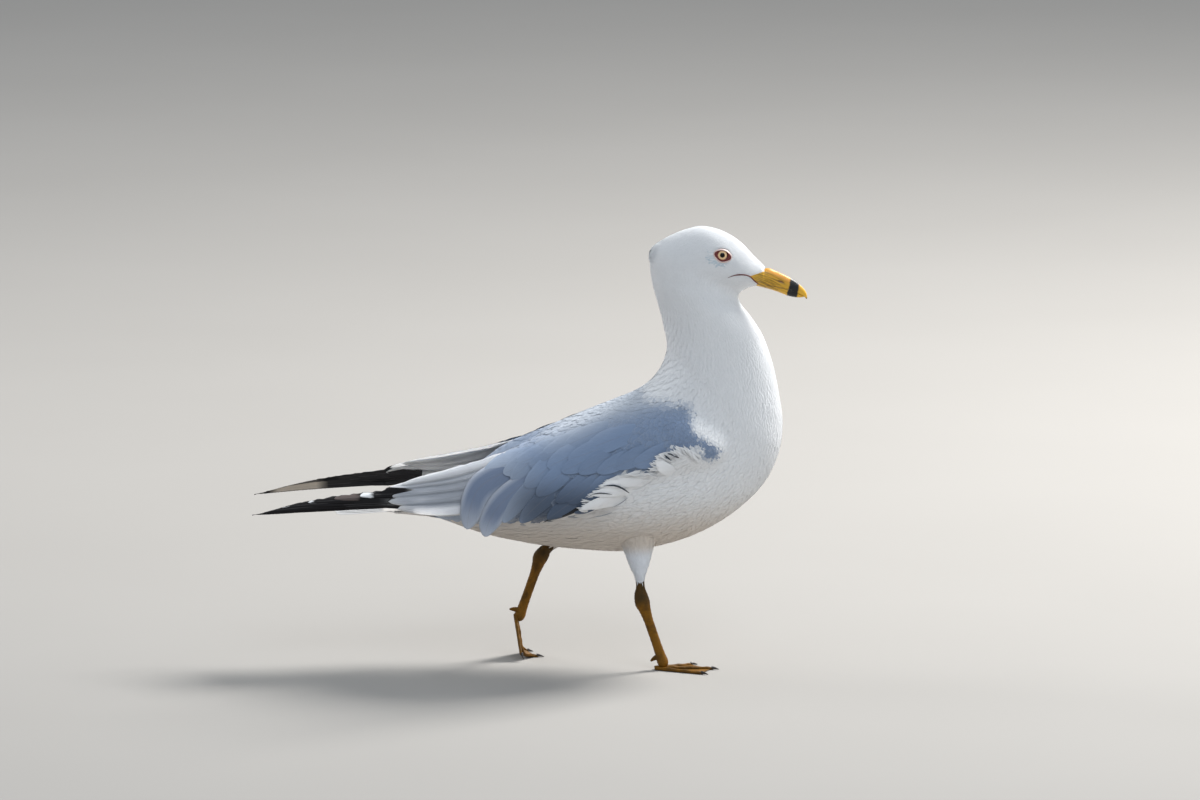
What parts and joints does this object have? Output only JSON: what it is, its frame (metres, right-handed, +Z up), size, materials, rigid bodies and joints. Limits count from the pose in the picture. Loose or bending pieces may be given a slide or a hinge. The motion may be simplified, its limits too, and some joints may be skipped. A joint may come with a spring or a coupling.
{
  "type": "ring-billed gull",
  "caption": "Life-size still gull in mid-stride: white body, folded grey wings with black tips, yellow banded bill, webbed feet.",
  "frame": {"origin": "on the floor, below the middle of the bird's bounding box", "axes": "+X forward to the bill, +Y the bird's left, +Z up"},
  "size_m": [0.4285, 0.1164, 0.3427],
  "materials": {
    "white_plumage": "soft white contour feathers",
    "grey_plumage": "smooth mid blue-grey feathers with pale edges",
    "black_plumage": "black flight feathers with white spots",
    "yellow_horn": "satin yellow to olive horn and scaled skin",
    "dark_claw": "dark satin horn",
    "pale_eye": "wet, pale yellow iris with a black pupil"
  },
  "bodies": {
    "root": {"bill_lower": "yellow_horn", "bill_upper": "yellow_horn", "claw_inner_left": "dark_claw", "claw_inner_right": "dark_claw", "claw_middle_left": "dark_claw", "claw_middle_right": "dark_claw", "claw_outer_left": "dark_claw", "claw_outer_right": "dark_claw", "eye_left": "pale_eye", "eye_right": "pale_eye", "foot_left": "yellow_horn", "foot_right": "yellow_horn", "head": "white_plumage", "hind_toe_left": "yellow_horn", "hind_toe_right": "yellow_horn", "leg_left": "yellow_horn", "leg_right": "yellow_horn", "neck": "white_plumage", "primaries_left": "black_plumage", "primaries_right": "black_plumage", "secondary_front_left": "grey_plumage", "secondary_front_right": "grey_plumage", "secondary_rear_left": "grey_plumage", "secondary_rear_right": "grey_plumage", "tail": "white_plumage", "tertials_left": "grey_plumage", "tertials_right": "grey_plumage", "thigh_left": "white_plumage", "thigh_right": "white_plumage", "trunk": "white_plumage", "wing_left": "grey_plumage", "wing_right": "grey_plumage"}
  },
  "joints": []
}
